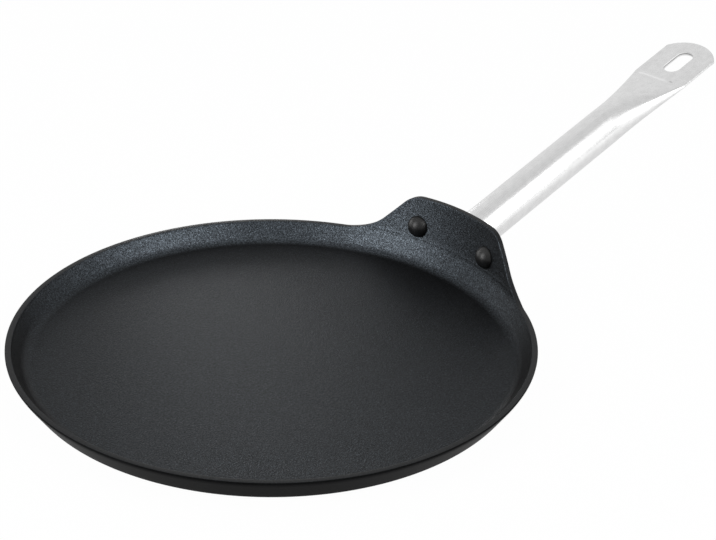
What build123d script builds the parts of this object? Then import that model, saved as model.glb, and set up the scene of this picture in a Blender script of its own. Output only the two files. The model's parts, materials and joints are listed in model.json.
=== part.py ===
from build123d import *

import os
from math import asin, atan, cos, pi, radians, sin, sqrt, tan

# A crepe pan: a shallow pressed aluminium disc whose wall rises into one ear,
# and a stainless tube handle whose bracket is riveted to the back of the ear.
#
# Millimetres, +Z up. The origin is the centre of the flat underside, and the
# handle leaves along +X. Angles are degrees.

os.makedirs("parts", exist_ok=True)

# Pan disc
rim_diameter = 260.0
pan_height = 14.0            # underside to the flat land on top of the rim
floor_thickness = 4.5
wall_thickness = 3.0         # square to the wall
wall_flare = 34.0            # wall's lean from upright, below its bend
base_corner_radius = 6.0     # outside, between the underside and the wall
floor_corner_radius = 7.0    # inside, between the floor and the wall
edge_round = 0.5             # worn edges of the rim's land and of the ear

# Ear: the wall bends more upright near the rim and carries on up to the rivets
bend_below_rim = 3.0         # how far under the land the bend starts
bend_radius = 12.0           # on the inside of the wall
ear_tilt = 7.0               # ear's lean from upright, above the bend
ear_height = 26.0            # above the land, at the middle of the top edge
ear_crown = 1.0              # how much the top edge drops from its middle to its corners
ear_top_width = 61.0         # between the sharp corners of the top edge
ear_foot_width = 106.0       # between the points where the shoulders would meet the land
ear_corner_radius = 14.0
ear_foot_radius = 29.0       # hollow blend from each shoulder into the rim

# Rivets: domed heads inside the pan, set tails behind the bracket
rivet_spacing = 49.0
rivet_height = 9.2           # heads' centres above the land
rivet_shank_diameter = 6.0
rivet_hole_clearance = 0.1   # on the radius
rivet_head_diameter = 12.0
rivet_head_height = 4.8
rivet_head_skirt = 0.5       # short upright edge under the dome
rivet_tail_diameter = 9.5
rivet_tail_height = 1.8
rivet_tail_round = 0.8

# Bracket: a steel plate pressed to the back of the wall and ear
bracket_thickness = 2.2
bracket_width = 66.0
bracket_top = 18.5           # its top edge above the land
bracket_shoulder = 3.0       # above the land, where the plate starts to narrow
bracket_bottom = 9.5         # its bottom edge below the land
bracket_bottom_width = 32.0
bracket_corner_radius = 6.0

# Handle: one tube, round at the pan and pressed flat at its hanging end
tube_diameter = 21.6
tube_wall = 1.2
tube_tilt = 17.0             # above level
tube_axis_height = 4.5       # above the land, where the axis crosses the rim's edge
handle_length = 215.0        # along the axis, from the rim's edge to the tip
press_length = 52.0          # where the round tube runs out to the flat
flat_length = 38.0           # from the crease to the tip
flat_width = 35.0
flat_lift = 1.5              # flat's middle above the tube's axis
flat_end_radius = 21.0
end_overlap = 1.0            # how far the end's arc is carried past the sides to cut them
slot_length = 21.5
slot_width = 10.5
slot_to_tip = 20.0           # slot's middle to the tip
seam_gap = 0.5               # last of the hollow, between the pressed walls

# One overrun for every cut that has to pass through
overrun = 4.0

# How the pressed stretch runs from round to flat: powers of its share of the way
press_height_power = 1.3
press_width_power = 1.45
press_lift_power = 2.2
press_steps = 5              # sections that the pressed stretch is drawn through
side_arc_power = 1.25        # how fast the rounded sides shrink as a section flattens
hollow_end_share = 0.93      # where along the pressed stretch the hollow ends

# The wall's lean where it meets the land, and the sharp corner there that is worn round
rim_lean_sine = sin(radians(wall_flare)) - bend_below_rim / (bend_radius + wall_thickness)
rim_lean_cosine = sqrt(1 - rim_lean_sine ** 2)
corner_wear = edge_round * ((1 + rim_lean_sine) / rim_lean_cosine - 1)
rim_radius = rim_diameter / 2 + corner_wear
flat_thickness = 2 * tube_wall
rivet_grip = wall_thickness + bracket_thickness
handle_axis = Vector(cos(radians(tube_tilt)), 0, sin(radians(tube_tilt)))
handle_up = Vector(-handle_axis.Z, 0, handle_axis.X)
handle_start = Vector(rim_diameter / 2, 0, pan_height + tube_axis_height)


def bend_centre():
    """Centre (radius, height) of the wall's bend, and the bend's outer radius."""
    outer = bend_radius + wall_thickness
    centre_r = rim_radius - outer * rim_lean_cosine
    centre_z = pan_height + outer * rim_lean_sine
    return centre_r, centre_z, outer


def wall_path(offset, foot_height, top_height):
    """Points of a line parallel to the wall's outside, offset towards the axis.

    It runs from foot_height up the flare, round the bend and up the ear to
    top_height, and comes back as foot, bend start, bend middle, bend end, top.
    """
    centre_r, centre_z, outer = bend_centre()
    radius = outer - offset

    def on_bend(lean):
        angle = radians(lean)
        return (centre_r + radius * cos(angle), centre_z - radius * sin(angle))

    start = on_bend(wall_flare)
    middle = on_bend((wall_flare + ear_tilt) / 2)
    end = on_bend(ear_tilt)
    foot = (start[0] - (start[1] - foot_height) * tan(radians(wall_flare)), foot_height)
    top = (end[0] + (top_height - end[1]) * tan(radians(ear_tilt)), top_height)
    return foot, start, middle, end, top


def closed_face(*edges):
    """Plane face inside lines and arcs that are given end to end."""
    return make_face(Wire(edges))


def rounded(sketch, point, radius):
    """The sketch with its corner at a point rounded."""
    corner = sketch.vertices().sort_by_distance(point)[0]
    return fillet(corner, radius)


def make_pan_blank():
    """Disc and wall, with an ear-high wall all the way round."""
    top = pan_height + ear_height + overrun
    outer = wall_path(0, 0, top)
    inner = wall_path(wall_thickness, floor_thickness, top)
    section = closed_face(
        Line((0, 0), outer[0]),
        Line(outer[0], outer[1]),
        ThreePointArc(outer[1], outer[2], outer[3]),
        Line(outer[3], outer[4]),
        Line(outer[4], inner[4]),
        Line(inner[4], inner[3]),
        ThreePointArc(inner[3], inner[2], inner[1]),
        Line(inner[1], inner[0]),
        Line(inner[0], (0, floor_thickness)),
        Line((0, floor_thickness), (0, 0)),
    )
    section = rounded(section, outer[0], base_corner_radius)
    section = rounded(section, inner[0], floor_corner_radius)
    return Rot(0, 0, 180) * revolve(Plane.XZ * section, Axis.Z)


def make_edge_cutter():
    """Everything above the finished edge: the rim's land, the shoulders and the ear's top."""
    land = pan_height
    high = land + ear_height + overrun * 2
    reach = rim_radius + ear_height
    left_foot = (-ear_foot_width / 2, land)
    left_top = (-ear_top_width / 2, land + ear_height - ear_crown)
    right_top = (ear_top_width / 2, land + ear_height - ear_crown)
    right_foot = (ear_foot_width / 2, land)
    front = closed_face(
        Line((-reach, land), left_foot),
        Line(left_foot, left_top),
        ThreePointArc(left_top, (0, land + ear_height), right_top),
        Line(right_top, right_foot),
        Line(right_foot, (reach, land)),
        Line((reach, land), (reach, high)),
        Line((reach, high), (-reach, high)),
        Line((-reach, high), (-reach, land)),
    )
    for foot in (left_foot, right_foot):
        front = rounded(front, foot, ear_foot_radius)
    for top in (left_top, right_top):
        front = rounded(front, top, ear_corner_radius)
    over_ear = extrude(Plane.YZ * front, reach)
    over_rim = Pos(-reach, 0, land) * Box(
        reach, 2 * reach, high - land, align=(Align.MIN, Align.CENTER, Align.MIN)
    )
    return over_ear + over_rim


def inside_of(offset):
    """Everything between the pan's axis and the line parallel to the wall."""
    low = -tube_diameter
    high = pan_height + ear_height + tube_diameter
    foot, start, middle, end, top = wall_path(offset, low, high)
    section = closed_face(
        Line((0, low), foot),
        Line(foot, start),
        ThreePointArc(start, middle, end),
        Line(end, top),
        Line(top, (0, high)),
        Line((0, high), (0, low)),
    )
    return revolve(Plane.XZ * section, Axis.Z)


def rivet_frames():
    """A plane for each rivet, on the ear's inside face, its normal towards the pan's middle."""
    height = pan_height + rivet_height
    radius = wall_path(wall_thickness, 0, height)[4][0]
    frames = []
    for side in (1, -1):
        turn = asin(side * rivet_spacing / 2 / radius)
        tilt = radians(ear_tilt)
        origin = (radius * cos(turn), radius * sin(turn), height)
        normal = (-cos(tilt) * cos(turn), -cos(tilt) * sin(turn), sin(tilt))
        across = (-sin(turn), cos(turn), 0)
        frames.append(Plane(origin=origin, x_dir=across, z_dir=normal))
    return frames


def drilled(plate, frames):
    """A plate with the rivets' holes through it."""
    hole_radius = rivet_shank_diameter / 2 + rivet_hole_clearance
    for frame in frames:
        plate -= frame * Cylinder(hole_radius, 2 * (rivet_grip + overrun))
    return plate


def make_pan_body(frames):
    """The disc with its ear, the edges of its land worn round, drilled for the rivets."""
    blank = make_pan_blank()
    cutter = make_edge_cutter()
    pan = blank - cutter
    land_edges = [
        edge
        for edge in new_edges(blank, cutter, combined=pan)
        if edge.geom_type != GeomType.LINE
    ]
    return drilled(fillet(land_edges, edge_round), frames)


def make_bracket(frames):
    """Plate on the back of the wall, wide at the rivets and narrow under the tube."""
    land = pan_height
    half_top = bracket_width / 2
    half_bottom = bracket_bottom_width / 2
    corners = [
        (-half_bottom, land - bracket_bottom),
        (-half_top, land + bracket_shoulder),
        (-half_top, land + bracket_top),
        (half_top, land + bracket_top),
        (half_top, land + bracket_shoulder),
        (half_bottom, land - bracket_bottom),
    ]
    outline = make_face(Polyline(*corners, close=True))
    for corner in corners:
        outline = rounded(outline, corner, bracket_corner_radius)
    column = extrude(Plane.YZ * outline, rim_diameter)
    plate = (column & inside_of(-bracket_thickness)) - inside_of(0)
    return drilled(plate, frames)


def dome_point(head_radius, dome):
    """A point half-way along a head's dome, which is an arc from its skirt to its crown."""
    sphere = (head_radius ** 2 + dome ** 2) / (2 * dome)
    half_turn = asin(head_radius / sphere) / 2
    return (sphere * sin(half_turn), rivet_head_height - sphere * (1 - cos(half_turn)))


def make_rivet(frame):
    """Domed head against the ear, shank through both plates, set tail on the bracket."""
    foot = -rivet_grip / 2
    head_radius = rivet_head_diameter / 2
    dome = rivet_head_height - rivet_head_skirt
    head = closed_face(
        Line((0, foot), (head_radius, foot)),
        Line((head_radius, foot), (head_radius, rivet_head_skirt)),
        ThreePointArc(
            (head_radius, rivet_head_skirt),
            dome_point(head_radius, dome),
            (0, rivet_head_height),
        ),
        Line((0, rivet_head_height), (0, foot)),
    )
    tail_radius = rivet_tail_diameter / 2
    tail_end = -rivet_grip - rivet_tail_height
    tail = closed_face(
        Line((0, foot), (0, tail_end)),
        Line((0, tail_end), (tail_radius, tail_end)),
        Line((tail_radius, tail_end), (tail_radius, foot)),
        Line((tail_radius, foot), (0, foot)),
    )
    tail = rounded(tail, (tail_radius, tail_end), rivet_tail_round)
    ends = revolve(Plane.XZ * head, Axis.Z) + revolve(Plane.XZ * tail, Axis.Z)
    plates = inside_of(-bracket_thickness) - inside_of(wall_thickness)
    shank = Pos(0, 0, rivet_head_skirt) * Cylinder(
        rivet_shank_diameter / 2,
        rivet_head_skirt + rivet_grip + rivet_tail_height,
        align=(Align.CENTER, Align.CENTER, Align.MAX),
    )
    return (frame * ends - plates) + frame * shank


def tube_plane(along, lift=0):
    """Plane square to the handle, at a distance from the rim's edge along the axis."""
    origin = handle_start + handle_axis * along + handle_up * lift
    return Plane(origin, x_dir=(0, 1, 0), z_dir=handle_axis)


def oval(half_width, half_height):
    """Four-arc oval whose arcs meet smoothly: a circle when both halves are equal.

    The side and cap arcs meet where their shared normal stands at one angle
    above level. It is 45 degrees on the circle and nears 90 on a flat oval.
    """
    slimness = half_height / half_width
    normal = pi / 2 - 2 * atan(tan(pi / 8) * slimness ** side_arc_power)
    level, rise = cos(normal), sin(normal)
    spare = 1 - level - rise
    side = (half_width * (1 - rise) - half_height * level) / spare
    corner_x = half_width - side * (1 - level)
    corner_y = side * rise
    return closed_face(
        ThreePointArc((-corner_x, corner_y), (0, half_height), (corner_x, corner_y)),
        ThreePointArc((corner_x, corner_y), (half_width, 0), (corner_x, -corner_y)),
        ThreePointArc((corner_x, -corner_y), (0, -half_height), (-corner_x, -corner_y)),
        ThreePointArc((-corner_x, -corner_y), (-half_width, 0), (-corner_x, corner_y)),
    )


def pressed_section(share, inset):
    """Section of the pressed stretch at a share of its length, drawn in by a wall."""
    flattened = share ** press_height_power
    spread = share ** press_width_power
    round_half = tube_diameter / 2
    half_height = round_half + (flat_thickness / 2 - round_half) * flattened
    half_width = round_half + (flat_width / 2 - round_half) * spread
    along = handle_length - flat_length - press_length * (1 - share)
    plane = tube_plane(along, flat_lift * share ** press_lift_power)
    return plane * oval(half_width - inset, max(half_height - inset, seam_gap / 2))


def tube_bar(inset, last_share):
    """Round stretch and pressed stretch as one bar, drawn in by a wall."""
    shares = [last_share * step / press_steps for step in range(press_steps + 1)]
    sections = [pressed_section(share, inset) for share in shares]
    round_length = handle_length - flat_length - press_length + tube_diameter
    straight = extrude(sections[0], -round_length)
    return straight + loft(sections)


def make_end_cutter():
    """Everything past the arc of the handle's end, drawn on the flat from its crease."""
    half = flat_width / 2 + end_overlap
    # The arc is carried on past both sides of the flat, so that it cuts them cleanly
    drop = flat_end_radius - sqrt(flat_end_radius ** 2 - half ** 2)
    shallow = flat_length - drop
    beyond = flat_length + overrun
    return closed_face(
        ThreePointArc((shallow, -half), (flat_length, 0), (shallow, half)),
        Line((shallow, half), (beyond, half)),
        Line((beyond, half), (beyond, -half)),
        Line((beyond, -half), (shallow, -half)),
    )


def make_handle():
    """Tube coped to the bracket, pressed flat at its end, with the hanging slot."""
    crease = handle_start + handle_axis * (handle_length - flat_length)
    face = Plane(crease + handle_up * flat_lift, x_dir=handle_axis, z_dir=handle_up)
    slot = Pos(flat_length - slot_to_tip, 0) * SlotOverall(slot_length, slot_width)
    flat = extrude(pressed_section(1, 0), flat_length)
    for outline in (make_end_cutter(), slot):
        flat -= face * extrude(outline, flat_thickness, both=True)
    hollow = tube_bar(tube_wall, hollow_end_share)
    tube = tube_bar(0, 1) - hollow - inside_of(-bracket_thickness)
    return tube + flat


frames = rivet_frames()
parts = {
    "pan_body": make_pan_body(frames),
    "handle_bracket": make_bracket(frames),
    "handle_tube": make_handle(),
    "rivet_left": make_rivet(frames[0]),
    "rivet_right": make_rivet(frames[1]),
}
for name, part in parts.items():
    box = part.bounding_box()
    print(name, len(part.solids()), round(part.volume, 1), part.is_valid, box)
    export_step(part, f"parts/{name}.step")
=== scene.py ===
# %% [markdown]
# # A crepe pan, finished in Blender
#
# The pan is a pressed aluminium disc with a dark, speckled non-stick coating.
# Its wall rises into one ear. A small steel bracket is riveted to the back of that ear,
# and a bright steel tube is welded to the bracket.
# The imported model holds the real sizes. This lesson loads it as a fixed frame and
# builds the skins that show around it: smooth meshes, finishes, light and a camera.

import json
from math import asin, atan, atan2, cos, hypot, pi, radians, sin, sqrt, tan

import bpy
from mathutils import Matrix, Quaternion, Vector

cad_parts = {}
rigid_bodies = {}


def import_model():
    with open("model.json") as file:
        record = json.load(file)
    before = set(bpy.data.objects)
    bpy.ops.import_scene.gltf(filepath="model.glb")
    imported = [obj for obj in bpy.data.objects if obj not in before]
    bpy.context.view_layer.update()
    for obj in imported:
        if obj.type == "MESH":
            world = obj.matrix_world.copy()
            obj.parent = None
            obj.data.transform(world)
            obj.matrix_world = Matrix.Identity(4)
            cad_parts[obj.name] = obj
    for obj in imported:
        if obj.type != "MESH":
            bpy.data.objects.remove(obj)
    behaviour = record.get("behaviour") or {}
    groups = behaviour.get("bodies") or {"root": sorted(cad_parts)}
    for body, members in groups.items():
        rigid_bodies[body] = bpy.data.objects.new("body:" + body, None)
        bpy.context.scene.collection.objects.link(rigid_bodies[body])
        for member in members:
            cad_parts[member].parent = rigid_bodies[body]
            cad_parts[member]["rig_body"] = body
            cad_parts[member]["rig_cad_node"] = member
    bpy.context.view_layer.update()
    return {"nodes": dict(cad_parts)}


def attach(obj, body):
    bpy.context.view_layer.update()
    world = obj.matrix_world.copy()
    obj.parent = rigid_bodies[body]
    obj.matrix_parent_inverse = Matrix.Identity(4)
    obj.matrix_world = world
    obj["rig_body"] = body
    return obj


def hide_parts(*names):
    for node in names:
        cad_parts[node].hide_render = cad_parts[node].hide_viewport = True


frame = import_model()
body = "root"
mm = 0.001
print("CAD nodes:", sorted(frame["nodes"]))

# %% [markdown]
# ## Helpers for modelling
#
# A turned, pressed or drawn piece is a stack of rings: a circle whose edge is extruded
# again and again. The stack is made first, one unit between its rings, so that each ring
# can be found by its height. Then every ring gets its real size and place from a formula.
# A spin of a drawn profile would do for a plain bowl, but not for a rim that rises on
# one side or for a tube that changes its section.

# %% A stack of rings
def deselect_all():
    """Nothing selected, so that an operator acts on the new piece alone."""
    for thing in bpy.context.selected_objects:
        thing.select_set(False)


def only(piece):
    """Selects one piece and makes it the active one."""
    deselect_all()
    piece.select_set(True)
    bpy.context.view_layer.objects.active = piece


def stack_rings(name, sides, count):
    """A closed skin of rings, one unit apart along Z, with a flat face on each end."""
    deselect_all()
    bpy.ops.mesh.primitive_circle_add(vertices=sides, radius=1, fill_type="NOTHING")
    piece = bpy.context.object
    piece.name = name
    piece.data.name = name
    bpy.ops.object.mode_set(mode="EDIT")
    bpy.ops.mesh.select_all(action="SELECT")
    for _ in range(count - 1):
        bpy.ops.mesh.extrude_region_move(TRANSFORM_OT_translate={"value": (0, 0, 1)})
    bpy.ops.mesh.edge_face_add()
    bpy.ops.object.mode_set(mode="OBJECT")
    select_rings(piece, [0])
    bpy.ops.object.mode_set(mode="EDIT")
    bpy.ops.mesh.edge_face_add()
    bpy.ops.object.mode_set(mode="OBJECT")
    return piece


def select_rings(piece, rings):
    """Selects the edges that run round some rings of an unshaped stack."""
    vertices = piece.data.vertices
    for face in piece.data.polygons:
        face.select = False
    for vertex in vertices:
        vertex.select = False
    for edge in piece.data.edges:
        heights = [round(vertices[index].co.z) for index in edge.vertices]
        edge.select = heights[0] == heights[1] and heights[0] in rings
        if edge.select:
            for index in edge.vertices:
                vertices[index].select = True


def mark_for_bevel(piece, ring, weight):
    """Gives the edges round one ring of an unshaped stack a bevel weight."""
    select_rings(piece, [ring])
    bpy.ops.object.mode_set(mode="EDIT")
    bpy.ops.mesh.select_mode(type="EDGE")
    bpy.ops.transform.edge_bevelweight(value=weight)
    bpy.ops.mesh.select_mode(type="VERT")
    bpy.ops.object.mode_set(mode="OBJECT")


def shape_rings(piece, place):
    """Moves every vertex of a stack to place(ring, turn), a point in metres."""
    for vertex in piece.data.vertices:
        x, y, z = vertex.co
        vertex.co = place(round(z), atan2(y, x))
    face_outwards(piece)


def face_outwards(piece):
    """Turns all faces of a closed skin outwards."""
    only(piece)
    bpy.ops.object.mode_set(mode="EDIT")
    bpy.ops.mesh.select_all(action="SELECT")
    bpy.ops.mesh.normals_make_consistent(inside=False)
    bpy.ops.object.mode_set(mode="OBJECT")


# %% [markdown]
# ## Finishing a piece
#
# Every piece ends in the same way. Its modifiers are applied one by one, so that the mesh
# holds the final shape. They could stay live, but then a later step would not see the new
# faces. The faces are shaded smooth except across sharp edges, and the piece gets its
# material, rides on the pan and says which solids of the frame it replaces.

# %% Apply, shade and place
smooth_up_to = radians(35)


def apply_modifier(piece, kind, **settings):
    """Adds a modifier to a piece, sets it and applies it."""
    only(piece)
    bpy.ops.object.modifier_add(type=kind)
    modifier = piece.modifiers[-1]
    for setting, value in settings.items():
        setattr(modifier, setting, value)
    bpy.ops.object.modifier_apply(modifier=modifier.name)


def finish_piece(piece, material, slot, *nodes):
    """Smooth shading, one material, and the piece's place in the frame."""
    only(piece)
    bpy.ops.object.shade_smooth_by_angle(angle=smooth_up_to)
    piece.data.materials.clear()
    piece.data.materials.append(material)
    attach(piece, body)
    if nodes:
        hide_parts(*nodes)
    print(piece.name, "faces:", len(piece.data.polygons))


# %% [markdown]
# ## Helpers for finishes
#
# A finish is arithmetic on a few patterns. Wired by hand, that is a tangle of Math nodes,
# so it is written as sums in Python instead. Sums need a socket to stand for a value,
# which the next step makes. Every other node comes from one method, add, which takes the
# node's type, its settings and what goes into its sockets.

# %% Nodes of a finish
class Nodes:
    """The nodes of one material or of the world."""

    def __init__(self, tree):
        self.tree = tree
        tree.nodes.clear()

    def add(self, kind, settings=None, inputs=None, output=0):
        """A node with its settings set and its sockets filled; gives one of its outputs."""
        node = self.tree.nodes.new(kind)
        for setting, value in (settings or {}).items():
            setattr(node, setting, value)
        for socket, value in (inputs or {}).items():
            if isinstance(value, Socket):
                self.tree.links.new(value.socket, node.inputs[socket])
            else:
                node.inputs[socket].default_value = value
        return Socket(self, node.outputs[output]) if node.outputs else None

    def noise(self, place, scale, detail=2, roughness=0.5):
        """Cloudy values from 0 to 1, with so many features to a metre."""
        inputs = {"Vector": place, "Scale": scale, "Detail": detail, "Roughness": roughness}
        return self.add("ShaderNodeTexNoise", {}, inputs)

    def mix(self, factor, first, second):
        """A colour between two colours."""
        settings = {"data_type": "RGBA"}
        return self.add("ShaderNodeMix", settings, {0: factor, 6: first, 7: second}, output=2)

    def bump(self, height, strength, depth):
        """A normal that leans as if the surface had a height that varies."""
        inputs = {"Height": height, "Strength": strength, "Distance": depth}
        return self.add("ShaderNodeBump", {}, inputs)

    def vectors(self, operation, first, second=(0, 0, 0), output="Vector"):
        """A Vector Math node on two vectors."""
        settings = {"operation": operation}
        return self.add("ShaderNodeVectorMath", settings, {0: first, 1: second}, output)

    def axes(self, vector):
        """The X, Y and Z of a vector."""
        split = self.add("ShaderNodeSeparateXYZ", {}, {0: vector})
        return split, split.beside("Y"), split.beside("Z")


# %% [markdown]
# ## Sums on sockets
#
# A socket stands for a value that changes over the surface. Python calls __add__ when it
# meets a plus sign, so a class with that method can lay a Math node there. The reflected
# forms, such as __rsub__, catch a number on the left, as in 1 - mask. The nodes could be
# made and linked one at a time, but a sum is far easier to read.

# %% Sockets that add up
class Socket:
    """An output socket that can be added, multiplied and compared in Python."""

    def __init__(self, nodes, socket):
        self.nodes = nodes
        self.socket = socket

    def beside(self, output):
        """Another output of the same node."""
        return Socket(self.nodes, self.socket.node.outputs[output])

    def maths(self, operation, first, second=0.0):
        """A Math node on two values."""
        return self.nodes.add("ShaderNodeMath", {"operation": operation}, {0: first, 1: second})

    def __add__(self, other):
        return self.maths("ADD", self, other)

    def __radd__(self, other):
        return self.maths("ADD", other, self)

    def __sub__(self, other):
        return self.maths("SUBTRACT", self, other)

    def __rsub__(self, other):
        return self.maths("SUBTRACT", other, self)

    def __mul__(self, other):
        return self.maths("MULTIPLY", self, other)

    def __rmul__(self, other):
        return self.maths("MULTIPLY", other, self)

    def power(self, exponent):
        """The value raised to a power."""
        return self.maths("POWER", self, exponent)

    def absolute(self):
        """The value without its sign."""
        return self.maths("ABSOLUTE", self)

    def wave(self):
        """The sine of the value."""
        return self.maths("SINE", self)

    def largest(self, other):
        """The larger of two values."""
        return self.maths("MAXIMUM", self, other)

    def smallest(self, other):
        """The smaller of two values."""
        return self.maths("MINIMUM", self, other)

    def ramp(self, low, high):
        """0 up to low, 1 from high on, and a smooth rise between them."""
        settings = {"interpolation_type": "SMOOTHSTEP"}
        inputs = {"Value": self, "From Min": low, "From Max": high}
        return self.nodes.add("ShaderNodeMapRange", settings, inputs)


# %% [markdown]
# ## A material from start to end
#
# A new material comes with two nodes of its own. Here it starts empty, and each finish
# ends in one output. In between, patterns read object coordinates, which are metres in
# the frame for every piece. A UV map would need a cut somewhere on the bent wall.

# %% Open and close a material
def new_material(name):
    """A material with its nodes cleared, and the wrapper that fills them."""
    material = bpy.data.materials.new(name)
    material.use_nodes = True
    return material, Nodes(material.node_tree)


def close_material(nodes, shader):
    """Joins a shader to the material's output."""
    nodes.add("ShaderNodeOutputMaterial", {}, {"Surface": shader})


def object_place(nodes):
    """Object coordinates: metres in the frame, as every piece sits at the origin."""
    return nodes.add("ShaderNodeTexCoord", output="Object")


# %% [markdown]
# ## The dark coating
#
# The pan is sprayed with a dark non-stick coat. Fine mica in it gives a silvery haze and
# pale flecks, which fade where the coat is seen at a slant, and it dries with a slight
# orange peel. A photograph or a drawn texture could carry the flecks, but they would
# stretch over the bent ear. Patterns in object space have one size everywhere: a fine
# grid of cells for the flecks, two noises for the haze, and a third for the peel.
# The bump also draws the fine rings that a lathe left on the underside. Low on the ear it
# leans the face back a little, because the light on the real ear falls off upwards.
# The inside, the worn rim, the outside and the rivets each have their own mix of it.

# %% Make the coating
clouds_per_metre = 45
grain_per_metre = 1300
peel_per_metre = 1400
flecks_per_metre = 1800
haze_share = 0.048
grain_share = 0.125
fleck_share = 0.31
slant_loss = 0.85
coating_bump = 0.2 * mm
underside_fade = (0.1 * mm, 0.4 * mm)
# In radians to a metre, which sets the rings 1.2 mm apart.
ring_waves = 5200
ring_depth = 0.4
hollow_foot = 16.5 * mm
# In depths of the bump to a metre, and how fast that falls off.
hollow_slope = 1050
hollow_easing = 12800


def turned_rings(nodes, place):
    """The height of fine rings round the middle of the underside."""
    height = nodes.axes(place)[2]
    level = nodes.vectors("MULTIPLY", place, (1, 1, 0))
    from_axis = nodes.vectors("LENGTH", level, output="Value")
    return (from_axis * ring_waves).wave() * (1 - height.ramp(*underside_fade)) * ring_depth


def ear_hollow(nodes, place):
    """How far the ear's face is hollowed: fast above its foot, and slower further up."""
    above = (nodes.axes(place)[2] - hollow_foot).largest(0)
    return above * (hollow_slope - above * hollow_easing)


def mica_share(nodes, place, grain):
    """The share of the surface that shines as mica: a haze, its grain and single flecks."""
    inputs = {"Vector": place, "Scale": flecks_per_metre}
    from_middle = nodes.add("ShaderNodeTexVoronoi", {"feature": "F1"}, inputs)
    cell = from_middle.beside("Position")
    pick = nodes.add("ShaderNodeTexWhiteNoise", {"noise_dimensions": "3D"}, {"Vector": cell})
    fleck = (1 - from_middle.ramp(0.25, 0.5)) * pick.ramp(0.6, 1.0)
    slant = nodes.add("ShaderNodeLayerWeight", {}, {"Blend": 0.5}, output="Facing")
    share = haze_share + grain.ramp(0.36, 0.64) * grain_share + fleck * fleck_share
    return share * (1 - slant * slant_loss).power(3)


def make_coating(name, mica_amount, peel_strength, gloss):
    """Dark coating with more or less mica, orange peel and gloss in it."""
    material, nodes = new_material(name)
    place = object_place(nodes)
    cloud = nodes.noise(place, clouds_per_metre, detail=3)
    grain = nodes.noise(place, grain_per_metre, roughness=0.6)
    peel = nodes.noise(place, peel_per_metre, roughness=0.6)
    darkest = (0.0035, 0.0035, 0.0036, 1)
    dark = nodes.mix(grain.ramp(0.3, 0.7), darkest, (0.0062, 0.0063, 0.0066, 1))
    colour = nodes.mix(cloud.ramp(0.35, 0.7) * 0.4, dark, (0.008, 0.0082, 0.0085, 1))
    height = peel * peel_strength + turned_rings(nodes, place)
    height = height - ear_hollow(nodes, place) * mica_amount
    bump = nodes.bump(height, 1.0, coating_bump)
    coat_inputs = {
        "Base Color": colour,
        "Roughness": 0.34 + grain * 0.1 + cloud * 0.05,
        "Normal": bump,
        "IOR": 1.33,
        "Specular IOR Level": gloss,
    }
    mica_inputs = {
        "Base Color": (0.45, 0.53, 0.615, 1),
        "Metallic": 1.0,
        "Roughness": 0.38,
        "Normal": bump,
    }
    coat = nodes.add("ShaderNodeBsdfPrincipled", {}, coat_inputs)
    mica = nodes.add("ShaderNodeBsdfPrincipled", {}, mica_inputs)
    share = mica_share(nodes, place, grain) * mica_amount
    close_material(nodes, nodes.add("ShaderNodeMixShader", {}, {0: share, 1: coat, 2: mica}))
    return material


pan_coating = make_coating("speckled_coating", mica_amount=1.0, peel_strength=0.95, gloss=0.125)
rim_coating = make_coating("rim_coating", mica_amount=0.24, peel_strength=0.3, gloss=0.24)
outer_coating = make_coating("outer_coating", mica_amount=0.0, peel_strength=0.1, gloss=0.025)
rivet_coating = make_coating("rivet_coating", mica_amount=0.0, peel_strength=0.15, gloss=1.0)
print("Nodes in the pan's coating:", len(pan_coating.node_tree.nodes))

# %% [markdown]
# ## The marks on the pressed end
#
# On the pressed end, the line where the two walls meet shows as a thin dark seam, at the
# tip and inside the hanging slot. The press left a crease across the steel, and a pale
# line of painted highlight stands for the light that its bend catches. Beside it sits one
# small pinch, a dent with painted shade in it. All three are too fine to be modelled, so
# they are painted, each with a mask that is 1 on the mark and 0 around it. X runs along
# the handle from its root.

# %% Mark the pressed end
# Each pair of lengths is the start and the end of a soft edge.
seam_level = 1.5 * mm
seam_thickness = (0.03 * mm, 0.09 * mm)
slot_seam_thickness = (0.15 * mm, 0.35 * mm)
tip_start = (199 * mm, 205 * mm)
slot_near_end = (180 * mm, 181 * mm)
slot_far_end = (207 * mm, 207.5 * mm)
slot_half_width = (6 * mm, 6.5 * mm)
# Where the crease's painted highlight lies, and how far it reaches.
crease_place = 175.4 * mm
crease_highlight_half = (0.1 * mm, 1.6 * mm)
crease_right_end = (-8 * mm, -4 * mm)
crease_left_end = (12 * mm, 15 * mm)
upper_face = (1 * mm, 2 * mm)
# The pinch is a dent in the bump and a painted shade in the colour.
pinch_place = (176.4 * mm, -8.7 * mm, 2.7 * mm)
pinch_squeeze = (1.6, 0.8, 1)
pinch_size = (0.4 * mm, 1.2 * mm)


def seam_mask(x, y, z):
    """1 on the line where the tube's two walls meet, at the tip and in the slot."""
    from_seam = (z - seam_level).absolute()
    at_tip = (1 - from_seam.ramp(*seam_thickness)) * x.ramp(*tip_start)
    across_slot = 1 - y.absolute().ramp(*slot_half_width)
    along_slot = x.ramp(*slot_near_end) * (1 - x.ramp(*slot_far_end))
    in_slot = (1 - from_seam.ramp(*slot_seam_thickness)) * across_slot * along_slot
    return at_tip.largest(in_slot)


def crease_highlight_mask(x, y, z):
    """1 on the painted highlight: a pale line across the upper face, where the pressed end begins.
    """
    line = 1 - (x - crease_place).absolute().ramp(*crease_highlight_half)
    across = y.ramp(*crease_right_end) * (1 - y.ramp(*crease_left_end))
    return line * across * z.ramp(*upper_face)


def pinch_dent_and_shade_mask(nodes, along):
    """1 on the small dent beside the crease, which also gets a painted shade."""
    from_pinch = nodes.vectors("SUBTRACT", along, pinch_place)
    squeezed = nodes.vectors("MULTIPLY", from_pinch, pinch_squeeze)
    return 1 - nodes.vectors("LENGTH", squeezed, output="Value").ramp(*pinch_size)


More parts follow.
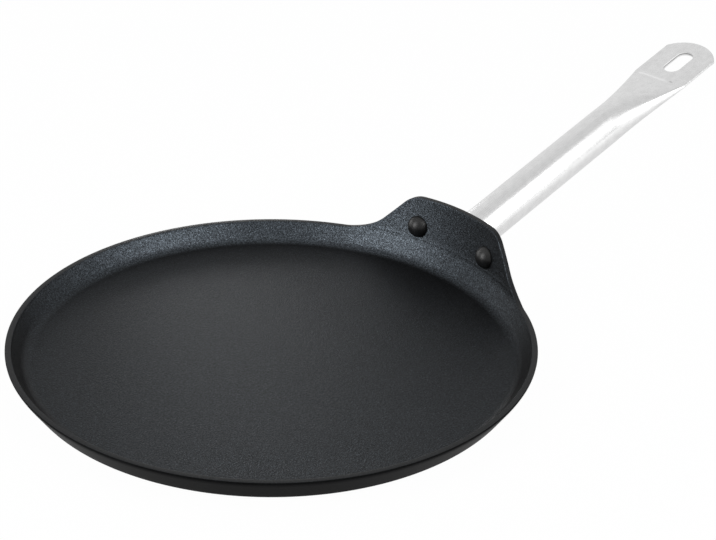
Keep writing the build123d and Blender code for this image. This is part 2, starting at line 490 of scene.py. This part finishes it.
def mark_pressed_end(nodes, along, colour, height):
    """Adds seam, crease's painted highlight and pinch's painted shade to a steel's colour and
    height.
    """
    x, y, z = nodes.axes(along)
    seam = seam_mask(x, y, z)
    pinch_dent_and_shade = pinch_dent_and_shade_mask(nodes, along)
    colour = nodes.mix(seam * 0.85, colour, (0.03, 0.03, 0.03, 1))
    # A painted highlight along the crease, where its bend catches the light.
    colour = nodes.mix(crease_highlight_mask(x, y, z) * 0.45, colour, (0.9, 0.9, 0.9, 1))
    # Painted shade in the pinch's dent.
    colour = nodes.mix(pinch_dent_and_shade * 0.6, colour, (0.2, 0.2, 0.2, 1))
    return colour, height - seam * 2 - pinch_dent_and_shade * 3


# %% [markdown]
# ## The satin steel
#
# The tube is drawn stainless steel, polished along its length until a fine grain is left.
# The grain is noise that is stretched some eighty times along the handle, which a Mapping
# node turns to the handle's slope. It drives a weak bump and the roughness, and the
# colour only faintly, because scratches show in the gloss far more than in the colour.
# An anisotropic shader would stretch the highlights too, but it needs a tangent that
# follows the tube, and it would not break them up as real scratches do.

# %% Make the steel
handle_slope = radians(17)
handle_root = Vector((130 * mm, 0, 18.5 * mm))
grain_stretch = (0.012, 1, 1)
fine_scratches = 5200
broad_scratches = 900
steel_bump = 0.04 * mm


def handle_place(nodes):
    """Object coordinates turned so that X runs along the handle's axis."""
    inputs = {
        "Vector": object_place(nodes),
        "Location": handle_root,
        "Rotation": (0, -handle_slope, 0),
    }
    return nodes.add("ShaderNodeMapping", {"vector_type": "TEXTURE"}, inputs)


def make_steel(name, base_roughness, grain_strength, pressed=False):
    """Stainless steel with a fine grain along the handle."""
    material, nodes = new_material(name)
    along = handle_place(nodes)
    inputs = {"Vector": along, "Scale": grain_stretch}
    drawn = nodes.add("ShaderNodeMapping", {"vector_type": "POINT"}, inputs)
    fine = nodes.noise(drawn, fine_scratches, detail=3, roughness=0.6)
    broad = nodes.noise(drawn, broad_scratches)
    smudge = nodes.noise(object_place(nodes), 38, detail=3)
    mottle = nodes.noise(object_place(nodes), 260)
    tone = (fine * 0.35 + broad * 0.2 + mottle * 0.45).ramp(0.3, 0.7)
    colour = nodes.mix(tone, (0.63, 0.63, 0.63, 1), (0.72, 0.72, 0.72, 1))
    height = fine * 0.7 + broad * 0.3
    if pressed:
        colour, height = mark_pressed_end(nodes, along, colour, height)
    inputs = {
        "Base Color": colour,
        "Metallic": 1.0,
        "Roughness": base_roughness + fine * 0.1 + smudge * 0.06,
        "Normal": nodes.bump(height, grain_strength, steel_bump),
    }
    close_material(nodes, nodes.add("ShaderNodeBsdfPrincipled", {}, inputs))
    return material


handle_steel = make_steel("satin_steel", base_roughness=0.2, grain_strength=0.25, pressed=True)
bracket_steel = make_steel("bracket_steel", base_roughness=0.32, grain_strength=0.2)
weld_steel = make_steel("weld_steel", base_roughness=0.38, grain_strength=0.35)
print("Nodes in the handle's steel:", len(handle_steel.node_tree.nodes))

# %% [markdown]
# ## Sizes of the pan
#
# These are the frame's own sizes again, in metres, because the smooth skins follow the
# same wall: a flare from the floor, one bend near the rim, and a nearly upright ear.
# The rim's radius is that of its sharp corner, which rounding brings down to 130 mm.
# The wall could be drawn as a curve and read off, but here its radius is a formula of the
# height, so that rows of faces can be spread evenly up it wherever the edge lies.

# %% The line of the wall
rim_radius = 130.29 * mm
land_height = 14 * mm
floor_height = 4.5 * mm
wall_thickness = 3 * mm
bracket_thickness = 2.2 * mm
flare = radians(34)
ear_tilt = radians(7)
bend_below_rim = 3 * mm
bend_radius = 12 * mm
base_corner_radius = 6 * mm
floor_corner_radius = 7 * mm
edge_round = 0.5 * mm

bend_outer = bend_radius + wall_thickness
lean_sine = sin(flare) - bend_below_rim / bend_outer
bend_r = rim_radius - bend_outer * sqrt(1 - lean_sine ** 2)
bend_z = land_height + bend_outer * lean_sine


def on_bend(offset, lean):
    """A point (radius, height) of the bend, drawn in by an offset from the wall's outside."""
    radius = bend_outer - offset
    return bend_r + radius * cos(lean), bend_z - radius * sin(lean)


def flare_foot(offset, height):
    """Where the flare, carried straight down, reaches a height."""
    start_r, start_z = on_bend(offset, flare)
    return start_r - (start_z - height) * tan(flare)


def wall_radius(offset, height):
    """Radius of the wall's line at a height."""
    start_z = on_bend(offset, flare)[1]
    end_r, end_z = on_bend(offset, ear_tilt)
    if height < start_z:
        return flare_foot(offset, height)
    if height > end_z:
        return end_r + (height - end_z) * tan(ear_tilt)
    lean = asin((bend_z - height) / (bend_outer - offset))
    return on_bend(offset, lean)[0]


print("Wall's radius at the land in mm:", round(wall_radius(0, land_height) / mm, 2))

# %% [markdown]
# ## The outline of the ear
#
# Seen along the handle, the rim's land runs level, sweeps up through a hollow curve into
# a straight shoulder, and turns over a round corner into a gently crowned top.
# The outline is one formula of the distance from the middle: two arcs, a line and a
# shallow crown. A cutter could trim the wall to it, but then every face along the cut
# would be a splinter. Here the rows of faces rise to the outline instead.

# %% Height of the rim and ear
ear_height = 26 * mm
ear_crown = 1 * mm
ear_top_half = 30.5 * mm
ear_foot_half = 53 * mm
ear_corner_radius = 14 * mm
ear_foot_radius = 29 * mm

settling_rounds = 8

crown_radius = (ear_top_half ** 2 + ear_crown ** 2) / (2 * ear_crown)
crown_z = land_height + ear_height - crown_radius
top_z = land_height + ear_height - ear_crown
shoulder = atan2(top_z - land_height, ear_foot_half - ear_top_half)
foot_centre = ear_foot_half + ear_foot_radius * tan(shoulder / 2)
foot_end = foot_centre - ear_foot_radius * sin(shoulder)


def corner_centre():
    """Centre of the arc that touches the shoulder and the crown from inside."""
    inwards = Vector((-sin(shoulder), -cos(shoulder)))
    along = Vector((cos(shoulder), -sin(shoulder)))
    start = Vector((ear_top_half, top_z)) + inwards * ear_corner_radius
    to_start = start - Vector((0, crown_z))
    half_b = to_start.dot(along)
    rest = to_start.length_squared - (crown_radius - ear_corner_radius) ** 2
    return start - along * (half_b + sqrt(half_b ** 2 - rest))


corner = corner_centre()
corner_outer = corner.x + ear_corner_radius * sin(shoulder)
corner_inner = crown_radius * corner.x / (crown_radius - ear_corner_radius)


def edge_height(across):
    """Height of the finished edge at a distance from the ear's middle."""
    far = abs(across)
    if far >= foot_centre:
        return land_height
    if far >= foot_end:
        return land_height + ear_foot_radius - sqrt(ear_foot_radius ** 2 - (foot_centre - far) ** 2)
    if far >= corner_outer:
        return land_height + (ear_foot_half - far) * tan(shoulder)
    if far >= corner_inner:
        return corner.y + sqrt(ear_corner_radius ** 2 - (far - corner.x) ** 2)
    return crown_z + sqrt(crown_radius ** 2 - far ** 2)


def edge_at(offset, turn):
    """Height of the edge where the wall's line at that turn round the pan reaches it."""
    height = land_height
    if cos(turn) > 0:
        for _ in range(settling_rounds):
            height = edge_height(wall_radius(offset, height) * sin(turn))
    return height


print("Ear's height over the land in mm:", round((edge_height(0) - land_height) / mm, 2))

# %% [markdown]
# ## The pan
#
# One skin goes from the middle of the floor, up the inside of the wall, over the edge and
# down the outside to the middle of the underside. Its rings are found by their number:
# flat rings for the floor, a few round each corner, and evenly spread rows up the wall.
# A spin would do all this in one step, but it can't raise the ear. The two loops along
# the edge are beveled, as wear and coating round them on a real pan, the inner one more.
# The rim's outside is held a hair inside the frame's box. The faces of the rim and of the
# outside are then found by their place and get their own mix of the coating.

# %% Make the pan
pan_sides = 720
flat_radii = [20 * mm, 60 * mm, 95 * mm]
corner_rows = 10
wall_rows = 24
widest = 129.97 * mm
inner_wear = 1.8
outer_skin = wall_thickness / 6
rim_skin = wall_thickness * 4 / 5
edge_heights = {
    offset: [edge_at(offset, 2 * pi * side / pan_sides) for side in range(pan_sides)]
    for offset in (0, wall_thickness)
}


def corner_ring(radius, middle_r, middle_z, share):
    """A ring round the bottom corner of the wall: share 0 on the flat, 1 on the flare."""
    angle = -pi / 2 + (pi / 2 - flare) * share
    return middle_r + radius * cos(angle), middle_z + radius * sin(angle)


def corner_middle(offset, height, radius):
    """Centre of the round between a flat at a height and the flare."""
    reach = radius * tan((pi / 2 - flare) / 2)
    return flare_foot(offset, height) - reach, height + radius


def side_rings(offset, height, radius):
    """Rings of one side from the middle outwards, each as a function of the turn."""
    middle = corner_middle(offset, height, radius)
    rings = [lambda turn, r=flat: (r, height) for flat in flat_radii]
    for row in range(corner_rows + 1):
        spot = corner_ring(radius, *middle, row / corner_rows)
        rings.append(lambda turn, spot=spot: spot)
    start_z = middle[1] - radius * sin(flare)
    for row in range(1, wall_rows + 1):
        def up_wall(turn, share=row / wall_rows):
            side = round(turn / (2 * pi) * pan_sides) % pan_sides
            top = edge_heights[offset][side]
            rise = start_z + (top - start_z) * share
            # The ear leans out past the rim, so the limit grows with the ear's height.
            limit = widest + max(top - land_height, 0)
            return min(wall_radius(offset, rise), limit), rise
        rings.append(up_wall)
    return rings


inside = side_rings(wall_thickness, floor_height, floor_corner_radius)
outside = side_rings(0, 0, base_corner_radius)
pan_rings = inside + outside[::-1]


def pan_place(ring, turn):
    """Where a vertex of the pan's stack belongs."""
    radius, height = pan_rings[ring](turn)
    return radius * cos(turn), radius * sin(turn), height


pan = stack_rings("pan_skin", pan_sides, len(pan_rings))
rim_lean = asin(lean_sine)
outer_bevel = edge_round / tan((pi / 2 - rim_lean) / 2)
inner_bevel = edge_round / tan((pi / 2 + rim_lean) / 2)
mark_for_bevel(pan, len(inside) - 1, inner_wear * inner_bevel / outer_bevel)
mark_for_bevel(pan, len(inside), 1)
shape_rings(pan, pan_place)
apply_modifier(pan, "BEVEL", limit_method="WEIGHT", width=outer_bevel, segments=4)
finish_piece(pan, pan_coating, "coated_aluminium", "pan_body")
pan.data.materials.append(rim_coating)
pan.data.materials.append(outer_coating)
for face in pan.data.polygons:
    x, y, z = face.center
    from_axis = hypot(x, y)
    if z < floor_height / 2 or from_axis > wall_radius(outer_skin, z):
        face.material_index = 2
    elif z > land_height / 2 and from_axis > wall_radius(rim_skin, z):
        face.material_index = 1

# %% [markdown]
# ## The rivets
#
# Each rivet is turned on its own axis: a low dome inside the pan, a shank through both
# plates, and a set tail behind the bracket. It is a short stack of rings on a profile,
# turned into the plane of the ear. The head's foot runs a little into the ear, so that
# no crack shows where the ear is hollow.

# %% Make the rivets
rivet_spacing = 49 * mm
rivet_height = 9.2 * mm
head_radius = 6 * mm
head_height = 4.8 * mm
head_skirt = 0.5 * mm
shank_radius = 3 * mm
tail_radius = 4.75 * mm
tail_height = 1.8 * mm
tail_round = 0.8 * mm
grip = wall_thickness + bracket_thickness
rivet_sides = 64
dome_rows = 12
round_rows = 4


def rivet_profile():
    """Points (radius, height over the ear's face) from the crown down to the tail's end."""
    dome = head_height - head_skirt
    sphere = (head_radius ** 2 + dome ** 2) / (2 * dome)
    half_turn = asin(head_radius / sphere)
    points = []
    for row in range(1, dome_rows + 1):
        angle = half_turn * row / dome_rows
        points.append((sphere * sin(angle), head_height - sphere * (1 - cos(angle))))
    inside_ear = -wall_thickness / 3
    points += [(head_radius, head_skirt / 2), (head_radius, inside_ear), (shank_radius, inside_ear)]
    plate_back = -grip + bracket_thickness / 3
    points += [(shank_radius, plate_back), (tail_radius, plate_back)]
    for row in range(round_rows + 1):
        angle = pi / 2 * row / round_rows
        points.append((
            tail_radius - tail_round * (1 - cos(angle)),
            -grip - tail_height + tail_round * (1 - sin(angle)),
        ))
    return points


def make_rivet(name, side, node):
    """A rivet on one side of the handle, 1 for the left and -1 for the right."""
    profile = rivet_profile()
    height = land_height + rivet_height
    radius = wall_radius(wall_thickness, height)
    turn = asin(side * rivet_spacing / 2 / radius)
    spot = Vector((radius * cos(turn), radius * sin(turn), height))
    normal = Vector((-cos(ear_tilt) * cos(turn), -cos(ear_tilt) * sin(turn), sin(ear_tilt)))
    across = Vector((-sin(turn), cos(turn), 0))
    upward = normal.cross(across)

    def place(ring, angle):
        ring_radius, ring_height = profile[ring]
        level = across * cos(angle) + upward * sin(angle)
        return spot + level * ring_radius + normal * ring_height

    rivet = stack_rings(name, rivet_sides, len(profile))
    shape_rings(rivet, place)
    finish_piece(rivet, rivet_coating, "rivet_aluminium", node)


make_rivet("rivet_skin_left", 1, "rivet_left")
make_rivet("rivet_skin_right", -1, "rivet_right")

# %% [markdown]
# ## The handle
#
# The handle starts as a round tube. Its free end was pressed between two flat dies, so
# the section runs from a circle to a flat oval twice as thick as the tube's wall, and
# grows wider as it flattens. A loft between two drawn sections would do, but then the
# tube would not flatten as it does in a press. Here every section has its own formula:
# an oval of four arcs that meet smoothly.

# %% Sections of the tube
tube_radius = 10.8 * mm
tube_wall = 1.2 * mm
handle_length = 214.98 * mm
press_length = 52 * mm
flat_length = 38 * mm
flat_half = 17.5 * mm
flat_lift = 1.5 * mm
flat_end_radius = 21 * mm
press_height_power = 1.3
press_width_power = 1.45
press_lift_power = 2.2
side_arc_power = 1.25
quarter_sides = 32
arc_sides = quarter_sides // 2
tube_sides = 4 * quarter_sides
straight_rows = 30
press_rows = 44
flat_rows = 26
press_start = handle_length - flat_length - press_length


def oval_point(half_width, half_height, side):
    """One of the points round a four-arc oval, from its right end anticlockwise."""
    quarter, step = divmod(side % tube_sides, quarter_sides)
    if quarter in (1, 3):
        step = quarter_sides - step
    normal = pi / 2 - 2 * atan(tan(pi / 8) * (half_height / half_width) ** side_arc_power)
    spare = 1 - cos(normal) - sin(normal)
    side_radius = (half_width * (1 - sin(normal)) - half_height * cos(normal)) / spare
    cap_radius = (half_width - side_radius * (1 - cos(normal))) / cos(normal)
    if step <= arc_sides:
        angle = normal * step / arc_sides
        x = half_width - side_radius * (1 - cos(angle))
        y = side_radius * sin(angle)
    else:
        angle = normal + (pi / 2 - normal) * (step - arc_sides) / arc_sides
        x = cap_radius * cos(angle)
        y = half_height - cap_radius * (1 - sin(angle))
    return (-x if quarter in (1, 2) else x), (-y if quarter in (2, 3) else y)


def section(share):
    """Half width, half height and lift of the section at a share of the pressed stretch."""
    flattened = share ** press_height_power
    spread = share ** press_width_power
    half_height = tube_radius + (tube_wall - tube_radius) * flattened
    half_width = tube_radius + (flat_half - tube_radius) * spread
    return half_width, half_height, flat_lift * share ** press_lift_power


print("Sections' half width, half height and lift in mm:")
for share in (0, 0.5, 1):
    print(share, [round(size / mm, 2) for size in section(share)])

# %% [markdown]
# ## The rings of the handle
#
# The sections are set along the sloping axis: evenly spaced over the round tube, closer
# over the pressed stretch, and bowed out to the round tip over the flat. The first ring
# is cut to the bracket. A Boolean could cut it, but would leave splinters where the tube
# meets the bent plate at a slant, so each line of the tube is ended there by halving.

# %% Make the handle
cope_reach = (-30 * mm, 60 * mm)
cope_halvings = 40
axis = Vector((cos(handle_slope), 0, sin(handle_slope)))
up = Vector((-sin(handle_slope), 0, cos(handle_slope)))


def handle_point(along, across, rise):
    """A point of the handle: along its axis, across it, and square to both."""
    return handle_root + axis * along + Vector((0, 1, 0)) * across + up * rise


def cope(across, rise):
    """How far along the axis a line of the tube's skin meets the bracket, by halving."""
    low, high = cope_reach
    for _ in range(cope_halvings):
        middle = (low + high) / 2
        spot = handle_point(middle, across, rise)
        if hypot(spot.x, spot.y) < wall_radius(-bracket_thickness, spot.z):
            low = middle
        else:
            high = middle
    return low


def handle_place_of(ring, turn):
    """Where a vertex of the handle's stack belongs."""
    side = round(turn / (2 * pi) * tube_sides)
    if ring <= straight_rows:
        across, rise = oval_point(tube_radius, tube_radius, side)
        start = cope(across, rise)
        return handle_point(start + (press_start - start) * ring / straight_rows, across, rise)
    ring -= straight_rows
    if ring <= press_rows:
        share = ring / press_rows
        half_width, half_height, lift = section(share)
        across, rise = oval_point(half_width, half_height, side)
        return handle_point(press_start + press_length * share, across, rise + lift)
    ring -= press_rows
    across, rise = oval_point(flat_half, tube_wall, side)
    drop = flat_end_radius - sqrt(flat_end_radius ** 2 - across ** 2)
    crease = handle_length - flat_length
    return handle_point(crease + (flat_length - drop) * ring / flat_rows, across, rise + flat_lift)


handle_rings = straight_rows + press_rows + flat_rows + 1
handle = stack_rings("handle_skin", tube_sides, handle_rings)
shape_rings(handle, handle_place_of)
print("Handle's tip in mm:", round(handle_point(handle_length, 0, 0).x / mm, 1))

# %% [markdown]
# ## The hanging slot
#
# The slot is punched through the pressed end. A cylinder is stretched into a block with
# two round ends, laid on the slope of the handle, and cut away with a Boolean.
# The punched and trimmed edges are then eased a little, as a polishing wheel leaves them.

# %% Cut the slot
slot_length = 21.5 * mm
slot_half = 5.25 * mm
slot_to_tip = 20 * mm
slot_sides = 96
edge_ease = 0.3 * mm


def make_slot_block():
    """A block as wide and long as the slot, square to the flat end."""
    deselect_all()
    bpy.ops.mesh.primitive_cylinder_add(vertices=slot_sides, radius=slot_half, depth=slot_half * 2)
    block = bpy.context.object
    half_run = slot_length / 2 - slot_half
    for vertex in block.data.vertices:
        vertex.co.x += half_run if vertex.co.x > 0 else -half_run
    middle = handle_point(handle_length - slot_to_tip, 0, flat_lift)
    turn = Matrix.Rotation(-handle_slope, 4, "Y")
    block.data.transform(Matrix.Translation(middle) @ turn)
    return block


slot_block = make_slot_block()
apply_modifier(handle, "BOOLEAN", operation="DIFFERENCE", object=slot_block, solver="EXACT")
bpy.data.objects.remove(slot_block)
apply_modifier(
    handle, "BEVEL", limit_method="ANGLE", angle_limit=radians(50), width=edge_ease, segments=2
)
finish_piece(handle, handle_steel, "handle_steel", "handle_tube")

# %% [markdown]
# ## The bracket
#
# The bracket is a small plate pressed to the back of the ear. It could be bent again from
# a flat strip, but its shape in the frame is right already, so a copy of it is welded
# into one smooth skin. The copy's marks as a node of the frame are taken off.

# %% Make the bracket
deselect_all()
bracket = frame["nodes"]["handle_bracket"].copy()
bracket.data = bracket.data.copy()
bracket.name = "bracket_skin"
bracket.parent = None
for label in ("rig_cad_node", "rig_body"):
    del bracket[label]
bpy.context.scene.collection.objects.link(bracket)
only(bracket)
bpy.ops.object.mode_set(mode="EDIT")
bpy.ops.mesh.select_all(action="SELECT")
bpy.ops.mesh.remove_doubles(threshold=0.001 * mm)
bpy.ops.object.mode_set(mode="OBJECT")
finish_piece(bracket, bracket_steel, "bracket_steel", "handle_bracket")

# %% [markdown]
# ## The weld
#
# The tube is joined to the bracket by a bead of weld, a cord of metal laid round the root
# in short overlapping puddles. A ring could be swept and then dented, but a round curve
# does both at once: it follows the root and is thicker and thinner along its way.

# %% Lay the weld
bead_radius = 1.1 * mm
bead_ripple = 0.12 * mm
bead_ripples = 58
bead_steps = 6


def make_weld():
    """A rippled bead round the tube's root."""
    curve = bpy.data.curves.new("weld_line", "CURVE")
    curve.dimensions = "3D"
    curve.bevel_depth = bead_radius
    curve.bevel_resolution = 3
    line = curve.splines.new("POLY")
    count = bead_ripples * bead_steps
    line.points.add(count - 1)
    line.use_cyclic_u = True
    for index, point in enumerate(line.points):
        angle = 2 * pi * index / count
        across = tube_radius * cos(angle)
        rise = tube_radius * sin(angle)
        spot = handle_point(cope(across, rise), across, rise)
        point.co = (*spot, 1)
        point.radius = 1 + bead_ripple / bead_radius * cos(angle * bead_ripples)
    weld = bpy.data.objects.new("weld_bead", curve)
    bpy.context.scene.collection.objects.link(weld)
    only(weld)
    bpy.ops.object.convert(target="MESH")
    return bpy.context.object


weld = make_weld()
finish_piece(weld, weld_steel, "handle_steel")

# %% [markdown]
# ## The floor
#
# The pan stands on a plain white sweep. Strong lamps could whiten a grey floor, but they
# would wash out the pan. So the floor glows by itself to the camera and to reflections,
# and a small matt share of it still takes the shadow. To every other ray it is plain matt
# white, which lights the pan from below as a real floor does.
# Reflections also see a painted pool of light in it: a little brighter on the right of the
# handle, towards the tall lamp, and a little dimmer elsewhere, which gives the tube's
# bright band a soft lower edge.

# %% Lay the floor
floor_width = 40
floor_white = (0.9, 0.9, 0.9, 1)
glow_share = 0.98
# The painted pool of light in the glow that reflections see, and the dimming outside it.
painted_pool_slope = 1.9
painted_pool_most = 0.5
painted_pool_start = (0, 0.15)
outside_pool_dimming = 0.05


def make_floor():
    """A wide white floor that keeps a soft shadow."""
    deselect_all()
    bpy.ops.mesh.primitive_plane_add(size=floor_width)
    floor = bpy.context.object
    floor.name = "studio_floor"
    material, nodes = new_material("white_floor")
    x, y = nodes.axes(object_place(nodes))[:2]
    # A painted pool of light for reflections: brighter right of the handle, dimmer elsewhere.
    painted_pool = (y * -painted_pool_slope).largest(0).smallest(painted_pool_most) * x.ramp(*painted_pool_start) - outside_pool_dimming
    looked_at = nodes.add("ShaderNodeLightPath", output="Is Camera Ray")
    mirrored = looked_at.beside("Is Glossy Ray")
    matt = nodes.add("ShaderNodeBsdfDiffuse", {}, {"Color": floor_white})
    glow = nodes.add("ShaderNodeEmission", {}, {"Color": 1 + painted_pool * mirrored})
    share = looked_at.largest(mirrored) * glow_share
    close_material(nodes, nodes.add("ShaderNodeMixShader", {}, {0: share, 1: matt, 2: glow}))
    floor.data.materials.append(material)
    print(floor.name, "width in m:", floor_width)


make_floor()

# %% [markdown]
# ## The room
#
# The camera sees plain white round the pan, and the pan itself is lit by an even, faint
# grey. What the steel and the coating mirror is a third thing: a dim room that is
# brighter overhead and at the rear. A picture of a studio could be wrapped round the
# scene, but in satin steel only these two soft zones of it would show.

# %% Light the room
soft_light = (0.93, 0.96, 1, 1)
soft_level = 0.45
room_level = 0.48
overhead = (0.11, 0.11, 1)
overhead_zone = (0.66, 0.8)
overhead_level = 0.39
rear = (0.47, 0.814, 0.342)
rear_zone = (0.62, 0.82)
rear_level = 0.51


def light_world():
    """White to the camera, a plain room to reflections and an even grey for soft light."""
    world = bpy.data.worlds.new("studio")
    bpy.context.scene.world = world
    world.use_nodes = True
    nodes = Nodes(world.node_tree)
    way = nodes.add("ShaderNodeTexCoord", output="Generated")
    towards_top = nodes.vectors("DOT_PRODUCT", way, overhead, output="Value")
    towards_rear = nodes.vectors("DOT_PRODUCT", way, rear, output="Value")
    top = towards_top.ramp(*overhead_zone) * overhead_level
    bright = top.largest(towards_rear.ramp(*rear_zone) * rear_level)
    camera_ray = nodes.add("ShaderNodeLightPath", output="Is Camera Ray")
    looked_at = camera_ray.largest(camera_ray.beside("Is Transmission Ray"))
    mirrored = camera_ray.beside("Is Glossy Ray")
    soft_inputs = {"Color": soft_light, "Strength": soft_level}
    soft = nodes.add("ShaderNodeBackground", {}, soft_inputs)
    room = nodes.add("ShaderNodeBackground", {}, {"Color": room_level + bright})
    white = nodes.add("ShaderNodeBackground", {}, {"Color": (1, 1, 1, 1)})
    mixed = nodes.add("ShaderNodeMixShader", {}, {0: mirrored, 1: soft, 2: room})
    mixed = nodes.add("ShaderNodeMixShader", {}, {0: looked_at, 1: mixed, 2: white})
    nodes.add("ShaderNodeOutputWorld", {}, {"Surface": mixed})
    print("Nodes in the world:", len(world.node_tree.nodes))


light_world()

# %% [markdown]
# ## The lamps
#
# Six soft lamps stand round the pan. Each is placed as a photographer would say it: a turn
# round the pan, a rise over the floor and a distance. Turn 0 is square to the handle on
# its right, and the camera stands at turn -45. One large lamp would be simpler, but the
# tube and the wall mirror each lamp as a band, and the photograph shows several bands.
# The tube mirrors the tall lamp as its white band, and the small lamp behind, narrowed
# as by a grid, lays the sheen on the pan's floor.

# %% Set the lamps
lamp_distance = 1.6


def add_lamp(name, turn, rise, width, height, watts, distance=lamp_distance,
             target=(0, 0, 0), spread=180):
    """A soft rectangular lamp in a direction in degrees from the pan, that looks at a point."""
    data = bpy.data.lights.new(name, "AREA")
    data.shape = "RECTANGLE"
    data.size = width
    data.size_y = height
    data.energy = watts
    data.spread = radians(spread)
    turn_angle = radians(turn)
    rise_angle = radians(rise)
    lamp = bpy.data.objects.new(name, data)
    lamp.location = distance * Vector((
        sin(turn_angle) * cos(rise_angle),
        -cos(turn_angle) * cos(rise_angle),
        sin(rise_angle),
    ))
    look = Vector(target) - lamp.location
    lamp.rotation_euler = look.to_track_quat("-Z", "Y").to_euler()
    bpy.context.scene.collection.objects.link(lamp)


add_lamp("left_lamp", turn=-103, rise=25, width=0.7, height=1.2, watts=15.2)
add_lamp("right_lamp", turn=12, rise=38, width=0.6, height=0.8, watts=5.6)
add_lamp("tall_lamp", turn=32, rise=30, width=0.5, height=1.7, watts=5.3)
add_lamp("side_lamp", turn=74, rise=15, width=1.1, height=0.5, watts=2)
add_lamp("far_side_lamp", turn=-166, rise=13, width=1.2, height=0.5, watts=3.8)
sheen_target = (28 * mm, 2 * mm, floor_height)
add_lamp("back_lamp", turn=147, rise=12.8, width=0.118, height=0.118, watts=0.0083,
         distance=0.588, target=sheen_target, spread=18)

# %% [markdown]
# ## The camera
#
# A long lens looks down at the pan from its front, turned so that the handle runs away
# to the right. The camera could be set by eye, but its place was worked out from the real
# pan's rim, crease and handle in the photograph, so the picture has the same frame.

# %% Set the camera
camera_aim = Vector((98.3 * mm, 41.2 * mm, -0.2 * mm))
camera_turn = radians(-44.71)
camera_rise = radians(27.43)
camera_roll = radians(1.555)
camera_distance = 0.9961
camera_lens = 92.25
sensor_width = 36

camera_back = Vector((
    sin(camera_turn) * cos(camera_rise),
    -cos(camera_turn) * cos(camera_rise),
    sin(camera_rise),
))
camera_data = bpy.data.cameras.new("photo_camera")
camera_data.lens = camera_lens
camera_data.sensor_width = sensor_width
camera = bpy.data.objects.new("photo_camera", camera_data)
camera.location = camera_aim + camera_back * camera_distance
camera.rotation_mode = "QUATERNION"
level_view = (-camera_back).to_track_quat("-Z", "Y")
camera.rotation_quaternion = level_view @ Quaternion((0, 0, 1), camera_roll)
bpy.context.scene.collection.objects.link(camera)
bpy.context.scene.camera = camera
bpy.context.scene.view_settings.view_transform = "Standard"
print("Camera's place in m:", [round(value, 3) for value in camera.location])
